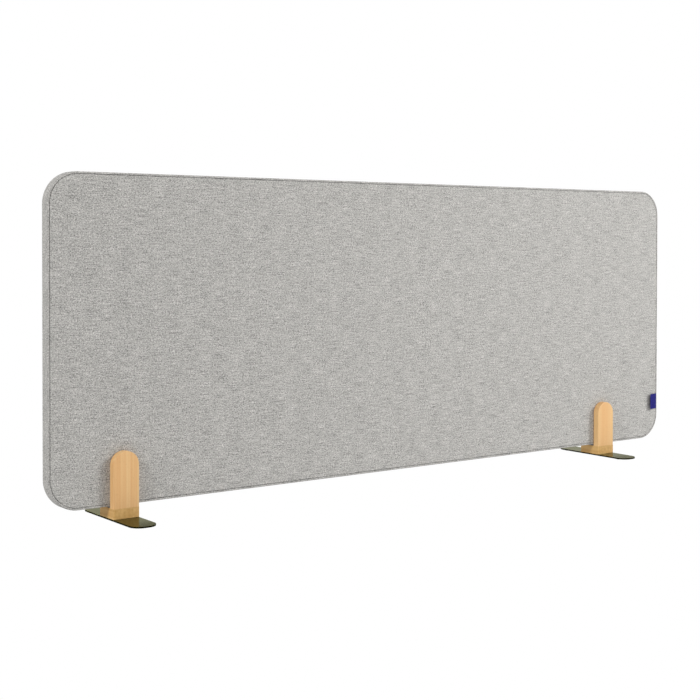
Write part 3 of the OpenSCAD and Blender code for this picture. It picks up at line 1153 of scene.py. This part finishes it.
@dataclass
class Cover:
    """Sewn cover: two face cloths, the edge band between them and the two flaps of the lower edge."""

    outline: Outline
    half_depth: float
    half_closure: float
    cloth: float = 1.0 * MM
    seam_inset: float = 4.0 * MM
    seam_gap: float = 0.2 * MM
    seam_depth: float = 2.2 * MM
    seam_roll: float = 1.3 * MM
    seam_steps: int = 7
    band_roll: float = 1.1 * MM
    band_steps: int = 6
    arris: float = 2.2 * MM
    arris_slack: float = 0.1 * MM
    arris_steps: int = 7
    rim_steps: tuple[float, ...] = (1.2 * MM, 2.5 * MM, 4.0 * MM)
    cut_pitch: float = 9.0 * MM
    # Painted seam shade starts this deep in the seam and grows this fast towards the bottom.
    seam_shade_start: float = 0.12
    seam_shade_gain: float = 1.3
    sag: float = 0.22 * MM
    sag_waves: Pair = (5.0, 6.5)
    sag_layer: float = 0.7
    sag_fade: float = 30.0 * MM
    pucker: float = 0.10 * MM
    pucker_pitch: float = 11.0 * MM
    pucker_inset: float = 3.5 * MM
    pucker_width: float = 2.4 * MM
    pucker_layer: float = 2.4
    pinch_width: float = 1.2 * MM
    pinch_layer: float = 5.1
    fold_width: float = 3.0 * MM
    flap_rise: float = 3.8 * MM
    flap_short: float = 3.0 * MM
    lap_gap: float = 0.1 * MM
    back_shift: float = 3.1
    band_shift: float = 1.7
    flap_shift: float = 2.6

    @classmethod
    def of_frame(cls, outline: Outline) -> "Cover":
        """The cover of the CAD's panel, as deep and with as long a closure as its front flap says."""
        low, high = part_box("flap_front")
        return cls(outline, -low.y, high.x)

    def build(self) -> None:
        """Make every piece of the cover."""
        for face in Face:
            self.face_cloth(face)
        self.edge_band()
        self.inner_flap()
        self.outer_flap()

    def stitches(self, along: float, layer: float) -> float:
        """How much the seam's stitches pull at a distance along the outline, from 0 to 1."""
        return ripple(Vector((along / self.pucker_pitch, layer, 0.0)))

    def soften(self, mesh: bmesh.types.BMesh) -> None:
        """Let a front face's cloth sink a little between the felt's high spots, and pucker at its seam.

        Args:
            mesh: Mesh of the face, looking to the front.
        """
        for vert in mesh.verts:
            along, inset = self.outline.place(vert.co.x, vert.co.z)
            from_seam = max(inset - self.seam_inset - self.seam_gap, 0.0)
            across, up = self.sag_waves
            wave = ripple(Vector((vert.co.x * across, self.sag_layer, vert.co.z * up)))
            fade = min(from_seam / self.sag_fade, 1.0)
            near = bell(from_seam - self.pucker_inset, self.pucker_width)
            pull = self.pucker * self.stitches(along, self.pucker_layer)
            vert.co.y += self.sag * wave * fade + pull * near

    def painted_seam_share(self, point: Vector) -> float:
        """Find how deep a point lies in the seam, as the mask of the painted seam shade.

        Args:
            point: Point of the cover.

        Returns:
            Share of the seam's depth, and 0 away from the seam.
        """
        inset = self.outline.place(point.x, point.z)[1]
        if self.arris - self.arris_slack < inset < self.seam_inset + self.seam_gap + self.seam_roll:
            depth = (self.half_depth - abs(point.y)) / self.seam_depth
            return (depth - self.seam_shade_start) * self.seam_shade_gain
        return 0.0

    def face_cloth(self, face: Face) -> bpy.types.Object:
        """Make one face cloth, rolled into its seam all round.

        Args:
            face: Which face it covers.

        Returns:
            The finished piece.
        """
        node = "cover_" + face.value
        mesh = bmesh.new()
        cloth = self.outline.face(mesh, self.seam_inset + self.seam_gap, -self.half_depth + self.seam_depth)
        step_inwards(mesh, cloth, quarter_round(self.seam_roll, self.seam_depth, self.seam_steps))
        step_inwards(mesh, cloth, [(width, 0.0) for width in self.rim_steps])
        self.outline.slice_all(mesh, self.cut_pitch)
        self.soften(mesh)
        add_painted_seam_mask(mesh, self.painted_seam_share)
        thicken(mesh, self.cloth)
        shift = 0.0
        if face is Face.BACK:
            half_turn(mesh)
            shift = self.back_shift
        add_weave_map(mesh, lambda co: (co.x + shift, co.z))
        return Piece(node + "_cloth", CLOTH, Slot.COVER_CLOTH, Body.PANEL, node).settle(mesh)

    def edge_band(self) -> bpy.types.Object:
        """Make the band round the panel's edge, left open where the flaps close the lower edge.

        Returns:
            The finished piece.
        """
        mesh = bmesh.new()
        ring = self.outline.face(mesh, 0.0, 0.0)
        step_inwards(mesh, ring, [(0.0, (self.half_depth - self.arris) / 2)] * 2)
        step_inwards(mesh, ring, quarter_round(self.arris, self.arris, self.arris_steps))
        step_inwards(mesh, ring, [(self.seam_inset - self.arris - self.band_roll, 0.0)])
        roll = quarter_round(self.band_roll, self.seam_depth, self.band_steps)
        step_inwards(mesh, ring, [(inset, -rise) for inset, rise in reversed(roll)])
        bmesh.ops.delete(mesh, geom=[ring], context="FACES")
        self.outline.slice_all(mesh, self.cut_pitch)
        for side in (-1, 1):
            cut_plane(mesh, X_AXIS * side * self.half_closure, X_AXIS)
        clear_strip(mesh, self.half_closure, self.outline.middle_z)
        self.pinch_band(mesh)
        bmesh.ops.mirror(mesh, geom=everything(mesh), axis="Y", merge_dist=MERGE_GAP)
        bmesh.ops.remove_doubles(mesh, verts=mesh.verts, dist=MERGE_GAP)
        bmesh.ops.recalc_face_normals(mesh, faces=mesh.faces)
        add_painted_seam_mask(mesh, self.painted_seam_share)
        thicken(mesh, self.cloth)
        add_weave_map(mesh, self.band_place)
        return Piece("edge_band_cloth", CLOTH, Slot.COVER_CLOTH, Body.PANEL, "edge_band").settle(mesh)

    def pinch_band(self, mesh: bmesh.types.BMesh) -> None:
        """Pull the band's front arris in a little where the seam's stitches hold it.

        Args:
            mesh: Mesh of the band's front half.
        """
        for vert in mesh.verts:
            if vert.co.y < -self.half_depth / 2:
                along, inset = self.outline.place(vert.co.x, vert.co.z)
                near = bell(inset - self.arris, self.pinch_width)
                vert.co.y += self.pucker * self.stitches(along, self.pinch_layer) * near

    def band_place(self, point: Vector) -> Pair:
        """Place on the band's cloth: along the outline, and across from one seam to the other."""
        along, inset = self.outline.place(point.x, point.z)
        return along, self.band_shift + point.y + math.copysign(inset, point.y)

    def flap_place(self, point: Vector) -> Pair:
        """Place on a flap's cloth: along the lower edge, and across it."""
        return point.x, self.flap_shift + point.y + math.copysign(point.z - self.outline.low_z, point.y)

    def inner_flap(self) -> bpy.types.Object:
        """Make the flap that is folded in under the front edge and lies above the tapes.

        Returns:
            The finished piece.
        """
        low_z = self.outline.low_z
        fold_y = -self.half_depth + self.fold_width
        leaf_z = low_z + self.flap_rise
        leaf = [(fold_y, low_z), (fold_y, leaf_z), (self.half_depth - self.flap_short, leaf_z)]
        return self.flap("flap_front", self.lip_line(-self.half_depth, 1.0) + leaf, 1.0)

    def outer_flap(self) -> bpy.types.Object:
        """Make the flap that closes the lower edge from the back.

        Returns:
            The finished piece.
        """
        leaf = [(-self.half_depth + self.fold_width + self.lap_gap, self.outline.low_z)]
        return self.flap("flap_back", self.lip_line(self.half_depth, -1.0) + leaf, -1.0)

    def lip_line(self, face_y: float, inward: float) -> list[Pair]:
        """Section of a flap's lip, from the seam over the arris to the lower edge.

        Args:
            face_y: Depth of the face that it starts on.
            inward: Sign of Y from that face into the panel.

        Returns:
            Pairs of Y and Z.
        """
        low_z = self.outline.low_z
        seam = [(face_y + inward * self.seam_depth * (1 - math.sin(a)),
                 low_z + self.seam_inset - self.band_roll * (1 - math.cos(a)))
                for a in quarter_angles(self.band_steps)]
        arris = [(face_y + inward * self.arris * (1 - math.cos(a)), low_z + self.arris * (1 - math.sin(a)))
                 for a in quarter_angles(self.arris_steps)]
        return seam + [point for point in arris if point not in seam]

    def flap(self, node: str, line: list[Pair], inward: float) -> bpy.types.Object:
        """Draw a flap's section out along the lower edge.

        Args:
            node: CAD node that it stands for.
            line: Section as pairs of Y and Z, outer side.
            inward: Sign of Y from the lip's face into the panel.

        Returns:
            The finished piece.
        """
        mesh = bmesh.new()
        steps = math.ceil(2 * self.half_closure / self.cut_pitch)
        draw_out(mesh, [(-self.half_closure, y, z) for y, z in line], X_AXIS * 2 * self.half_closure, steps)
        mesh.normal_update()
        arris_z = self.outline.low_z + self.arris
        lip = min(mesh.faces, key=lambda f: abs(abs(f.calc_center_median().y) - self.half_depth)
                  + abs(f.calc_center_median().z - arris_z))
        if lip.normal.y * inward > 0:
            bmesh.ops.reverse_faces(mesh, faces=mesh.faces[:])
        add_painted_seam_mask(mesh, self.painted_seam_share)
        thicken(mesh, self.cloth)
        add_weave_map(mesh, self.flap_place)
        return Piece(node + "_cloth", CLOTH, Slot.COVER_CLOTH, Body.PANEL, node).settle(mesh)


@dataclass
class Closure:
    """Hook tape and loop tape between the two flaps."""

    corner: float = 2.0 * MM
    edge: float = 0.25 * MM

    def build(self) -> None:
        self.tape("hook_tape", HOOKS, "loop_tape_strip")
        self.tape("loop_tape", LOOPS, "flap_back_cloth")

    def tape(self, node: str, finish: Finish, under: str) -> None:
        """Make one tape with round corners and soft edges.

        Args:
            node: CAD node that it stands for.
            finish: Hooks or loops.
            under: Piece that it lies on; not used.
        """
        low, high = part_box(node)
        mesh = bmesh.new()
        soft_slab(mesh, low, high, self.corner, self.edge)
        tape = Piece(node + "_strip", finish, Slot.CLOSURE_TAPE, Body.PANEL, node).settle(mesh)


@dataclass
class SideLabel:
    """Bare blue ribbon, folded in two and sewn into the right-hand seam."""

    cover: Cover
    cloth: float = 0.3 * MM
    fold: float = 0.4 * MM
    tilt: float = math.radians(12.0)
    width: float = 28.0 * MM
    bow: float = 0.7 * MM
    flat_share: float = 0.97
    fold_reach: float = 1.4
    flat_steps: int = 10
    fold_steps: int = 8
    height_steps: int = 26

    def build(self) -> None:
        low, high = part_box("label_tab")
        height = high.z - low.z
        mesh = bmesh.new()
        draw_out(mesh, [(x, y, low.z) for x, y in self.section()], Z_AXIS * height, self.height_steps)
        bmesh.ops.recalc_face_normals(mesh, faces=mesh.faces)
        add_weave_map(mesh, lambda co: (co.x, co.z))
        thicken(mesh, self.cloth)
        for vert in mesh.verts:
            vert.co.y -= self.bow * math.sin(math.pi * min(max(-vert.co.x / self.width, 0.0), 1.0))
        root = Vector((self.cover.outline.half_width - self.cover.seam_inset, -self.cover.half_depth, 0.0))
        bmesh.ops.rotate(mesh, cent=(0, 0, 0), matrix=Matrix.Rotation(self.tilt, 3, "Z"), verts=mesh.verts)
        bmesh.ops.translate(mesh, vec=root, verts=mesh.verts)
        label = Piece("label_ribbon", LABEL, Slot.LABEL_CLOTH, Body.PANEL, "label_tab").settle(mesh)
        2 * self.width

    def section(self) -> list[Pair]:
        """Line of the ribbon from above, before its tilt: out along its front, round the fold and back.

        Returns:
            Pairs of X and Y, with the seam at X = 0.
        """
        run = [-self.width * self.flat_share * i / self.flat_steps for i in range(self.flat_steps + 1)]
        angles = [math.pi * i / self.fold_steps for i in range(1, self.fold_steps)]
        turn = [(run[-1] - self.fold * math.sin(a) * self.fold_reach, -self.fold - self.fold * math.cos(a))
                for a in angles]
        return [(x, -2 * self.fold) for x in run] + turn + [(x, 0.0) for x in reversed(run)]


@dataclass
class Core:
    """Felt facings, absorber slabs and the dowelled pine frame inside the cover."""

    outline: Outline
    nodes: dict[str, bpy.types.Object]
    felt_inset: float = 1.25 * MM
    felt_pitch: float = 50.0 * MM
    rim_steps: tuple[float, ...] = (1.15 * MM, 1.0 * MM, 1.6 * MM, 1.6 * MM, 2.0 * MM, 2.4 * MM)
    squeeze: tuple[Pair, ...] = (
        (1.2 * MM, 0.8 * MM), (2.4 * MM, 1.4 * MM), (3.4 * MM, 1.55 * MM), (5.0 * MM, 1.55 * MM),
        (6.6 * MM, 2.1 * MM), (8.6 * MM, 2.5 * MM), (11.0 * MM, 2.64 * MM))
    recess_gap: float = 0.4 * MM
    slab_round: float = 4.0 * MM
    slab_segments: int = 4
    slab_pitch: float = 12.0 * MM
    slab_waste: float = 0.35 * MM
    slab_lumps: float = 22.0
    slab_fill: float = 0.8
    rails: tuple[str, ...] = ("top_rail", "bottom_rail")
    stiles: tuple[str, ...] = ("left_stile", "right_stile", "mid_stile_left", "mid_stile_right",
                               "corner_block_top_left", "corner_block_top_right", "corner_block_bottom_left",
                               "corner_block_bottom_right")

    def build(self) -> None:
        """Make the soft pieces and dress the frame."""
        flat = (2 * (self.outline.half_height - self.felt_inset),
                2 * (self.outline.half_width - self.felt_inset))
        for face in Face:
            self.felt(face)
        for node in ("absorber_left", "absorber_mid", "absorber_right"):
            self.absorber(node)
        for node in self.rails:
            dress_node(self.nodes[node], RAIL_PINE)
        for node in self.stiles:
            dress_node(self.nodes[node], STILE_PINE)
        dress_node(self.nodes["frame_dowels"], FRAME_DOWEL_BEECH)

    def felt(self, face: Face) -> bpy.types.Object:
        """Make one felt facing, squeezed thin along its rim where the seam presses on it.

        Args:
            face: Which face it lies under.

        Returns:
            The finished piece.
        """
        node = "felt_" + face.value
        low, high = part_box(node)
        mesh = bmesh.new()
        sheet = self.outline.face(mesh, self.felt_inset, -min(abs(low.y), abs(high.y)))
        step_inwards(mesh, sheet, [(width, 0.0) for width in self.rim_steps])
        self.outline.slice_all(mesh, self.felt_pitch)
        self.cut_recess(mesh)
        front = bmesh.ops.extrude_face_region(mesh, geom=mesh.faces[:], use_keep_orig=True)["geom"]
        for vert in (v for v in front if isinstance(v, bmesh.types.BMVert)):
            vert.co.y -= self.felt_thickness(self.outline.place(vert.co.x, vert.co.z)[1])
        bmesh.ops.recalc_face_normals(mesh, faces=mesh.faces)
        if face is Face.BACK:
            half_turn(mesh)
        return Piece(node + "_sheet", FELT, Slot.GREY_FELT, Body.PANEL, node).settle(mesh)

    def felt_thickness(self, inset: float) -> float:
        """Thickness of a felt facing, thin at the rim and under the seam.

        Args:
            inset: Distance inside the outline.

        Returns:
            The thickness.
        """
        for (near, thin), (far, thick) in zip(self.squeeze, self.squeeze[1:]):
            if inset < far:
                return thin + (thick - thin) * max(inset - near, 0.0) / (far - near)
        return self.squeeze[-1][1]

    def cut_recess(self, mesh: bmesh.types.BMesh) -> None:
        """Cut away the strip that leaves room for the flaps.

        Args:
            mesh: Mesh of the felt, still flat.
        """
        half_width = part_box("flap_front")[1].x + self.recess_gap
        top_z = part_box("bottom_rail")[0].z
        for side in (-1, 1):
            cut_plane(mesh, X_AXIS * side * half_width, X_AXIS)
        cut_plane(mesh, Z_AXIS * top_z, Z_AXIS)
        clear_strip(mesh, half_width, top_z)

    def absorber(self, node: str) -> bpy.types.Object:
        """Make one absorber slab with rounded edges and slightly uneven faces.

        Args:
            node: CAD node that it stands for.

        Returns:
            The finished piece.
        """
        low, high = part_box(node)
        middle = (low + high) / 2
        mesh = bmesh.new()
        add_block(mesh, low, high)
        round_off(mesh, mesh.edges[:], self.slab_round, self.slab_segments)
        slice_mesh(mesh, X_AXIS, low.x + self.slab_round, high.x - self.slab_round, self.slab_pitch)
        slice_mesh(mesh, Z_AXIS, low.z + self.slab_round, high.z - self.slab_round, self.slab_pitch)
        for vert in mesh.verts:
            lump = ripple(vert.co * self.slab_lumps)
            vert.co.y += self.slab_waste * lump * (1.0 if vert.co.y < middle.y else -1.0)
        return Piece(node + "_slab", FLEECE, Slot.FLEECE, Body.PANEL, node).settle(mesh)


@dataclass
class Foot:
    """One fork foot: two staves on a block on a steel plate with pads, a felt strip, dowels and screws."""

    side: str
    body: Body
    nodes: dict[str, bpy.types.Object]
    wood_ease: float = 1.0 * MM
    wood_segments: int = 3
    plate_ease: float = 0.30 * MM
    plate_segments: int = 3
    pad_ease: float = 0.3 * MM
    pad_segments: int = 2
    felt_corner: float = 1.2 * MM
    felt_edge: float = 0.6 * MM
    flat_within: float = 0.4
    arris_over: float = 40.0
    sharp_over: float = 35.0
    level_within: float = 0.01 * MM

    def build(self) -> None:
        """Make the eased pieces, the felt strip and dress the fasteners."""
        joint_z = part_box(self.side + "_front_stave")[0].z
        self.eased("front_stave", STAVE_BEECH, Slot.BEECH, self.wood_ease, self.wood_segments, joint_z)
        self.eased("back_stave", STAVE_BEECH, Slot.BEECH, self.wood_ease, self.wood_segments, joint_z)
        self.eased("base_block", BLOCK_BEECH, Slot.BEECH, self.wood_ease, self.wood_segments, joint_z)
        self.eased("base_plate", STEEL, Slot.DARK_STEEL, self.plate_ease, self.plate_segments)
        self.eased("floor_pads", RUBBER, Slot.PAD_RUBBER, self.pad_ease, self.pad_segments)
        self.felt_strip()
        dress_node(self.nodes[self.side + "_dowels"], DOWEL_BEECH)
        dress_node(self.nodes[self.side + "_screws"], ZINC)

    def eased(self, part: str, finish: Finish, slot: Slot, ease: float, segments: int,
              joint_z: Optional[float] = None) -> None:
        """Copy a CAD node and round its outer arrises.

        Args:
            part: Name of the part, without its side.
            finish: Finish that it wears.
            slot: The record's slot.
            ease: Width of the rounding.
            segments: Steps of the rounding.
            joint_z: Height of the joint between block and staves, whose arrises stay sharp.
        """
        node = self.side + "_" + part
        mesh = bmesh.new()
        mesh.from_mesh(self.nodes[node].data)
        bmesh.ops.remove_doubles(mesh, verts=mesh.verts, dist=MERGE_GAP)
        bmesh.ops.dissolve_limit(mesh, angle_limit=math.radians(self.flat_within), verts=mesh.verts,
                                 edges=mesh.edges)
        over = math.radians(self.arris_over)
        arrises = [e for e in mesh.edges if e.is_convex and e.calc_face_angle(0.0) > over
                   and not self.lies_at(e, joint_z)]
        round_off(mesh, arrises, ease, segments, clamp=True)
        made = Piece(node + "_eased", finish, slot, self.body, node, self.sharp_over).settle(mesh)
        made.modifiers.new("flat_faces", "WEIGHTED_NORMAL").keep_sharp = True

    def lies_at(self, edge: bmesh.types.BMEdge, z: Optional[float]) -> bool:
        """Whether an edge lies level at a height, if there is one."""
        return z is not None and all(abs(vert.co.z - z) < self.level_within for vert in edge.verts)

    def felt_strip(self) -> None:
        node = self.side + "_felt_strip"
        low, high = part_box(node)
        mesh = bmesh.new()
        soft_slab(mesh, low, high, self.felt_corner, self.felt_edge)
        strip = Piece(node + "_soft", FELT, Slot.GREY_FELT, self.body, node).settle(mesh)


@dataclass(frozen=True)
class Lamp:
    """Square soft box of the studio, with its power in watts."""

    name: str
    place: Triple
    target: Triple
    size: float
    power: float

    def hang(self) -> None:
        """Hang the lamp so that it looks at its target."""
        data = bpy.data.lights.new(self.name, "AREA")
        data.size = self.size
        data.energy = self.power
        lamp = link_object(self.name, data)
        lamp.location = self.place
        lamp.rotation_euler = (Vector(self.target) - Vector(self.place)).to_track_quat("-Z", "Y").to_euler()


@dataclass
class Studio:
    """Camera of the photograph's view, white floor and soft light."""

    frame_pixels: float = 700.0
    focal_pixels: float = 1332.4
    centre_row: float = 266.73
    place: Triple = (-1.765, -2.181, 0.5005)
    yaw: float = math.radians(36.78)
    pitch: float = math.radians(1.01)
    roll: float = 0.0016
    sensor: float = 36.0
    ambient: float = 0.205
    backdrop_mirrored: float = 0.76
    floor_reach: float = 6.0
    floor_gap: float = 0.05 * MM
    lamps: tuple[Lamp, ...] = (
        Lamp("key", (4.6, -3.9, 3.1), (0.0, 0.0, 0.33), 1.6, 232.0),
        Lamp("right", (2.3, -1.5, 0.8), (0.4, 0.0, 0.3), 1.6, 11.0),
        Lamp("front", (0.5, -1.6, 0.8), (0.25, 0.0, 0.3), 0.8, 5.7),
        Lamp("left", (-4.4, -1.11, 2.8), (-0.6, -0.05, 0.1), 1.3, 136.0),
        Lamp("back", (-0.4, 4.6, 3.0), (0.0, 0.0, 0.3), 1.2, 100.0))

    def build(self) -> None:
        """Set up the camera, the surround, the floor and the lamps."""
        self.add_camera()
        self.add_world()
        self.add_floor()
        for lamp in self.lamps:
            lamp.hang()

    def add_camera(self) -> None:
        """Stand the camera where the photograph was taken from."""
        data = bpy.data.cameras.new("camera")
        data.sensor_width = self.sensor
        data.lens = self.sensor * self.focal_pixels / self.frame_pixels
        data.shift_y = (self.centre_row - self.frame_pixels / 2) / self.frame_pixels
        ahead = Vector((math.sin(self.yaw) * math.cos(self.pitch), math.cos(self.yaw) * math.cos(self.pitch),
                        -math.sin(self.pitch)))
        level = Vector((math.cos(self.yaw), -math.sin(self.yaw), 0.0))
        up = level.cross(ahead)
        right = level * math.cos(self.roll) + up * math.sin(self.roll)
        up = right.cross(ahead)
        camera = link_object("camera", data)
        turn = Matrix((right, up, -ahead)).transposed().to_4x4()
        camera.matrix_world = Matrix.Translation(self.place) @ turn
        bpy.context.scene.camera = camera

    def add_world(self) -> None:
        """Surround the screen with even light that the camera sees as white."""
        world = bpy.data.worlds.new("studio")
        bpy.context.scene.world = world
        world.use_nodes = True
        backdrop = world.node_tree.nodes["Background"]
        backdrop.inputs["Color"].default_value = (1.0, 1.0, 1.0, 1.0)
        strength = Recipe(world).seen_white(self.backdrop_mirrored, self.ambient)
        world.node_tree.links.new(strength.socket, backdrop.inputs["Strength"])
        bpy.context.scene.view_settings.view_transform = "Standard"

    def add_floor(self) -> None:
        """Lay a floor that glows evenly and reads as pure white."""
        mesh = bmesh.new()
        bmesh.ops.create_grid(mesh, x_segments=1, y_segments=1, size=self.floor_reach)
        bmesh.ops.translate(mesh, vec=(0, 0, -self.floor_gap), verts=mesh.verts)
        link_mesh("floor", mesh, FLOOR_WHITE)


def main() -> None:
    """Build the studio and the screen in order."""
    logging.basicConfig(level=logging.INFO, format="%(name)s: %(message)s")
    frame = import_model()
    Studio().build()
    outline = Outline.of_band()
    cover = Cover.of_frame(outline)
    Core(outline, frame["nodes"]).build()
    Closure().build()
    cover.build()
    SideLabel(cover).build()
    Foot("left", Body.LEFT_FOOT, frame["nodes"]).build()
    Foot("right", Body.RIGHT_FOOT, frame["nodes"]).build()
    bpy.context.view_layer.update()


if __name__ == "__main__":
    main()
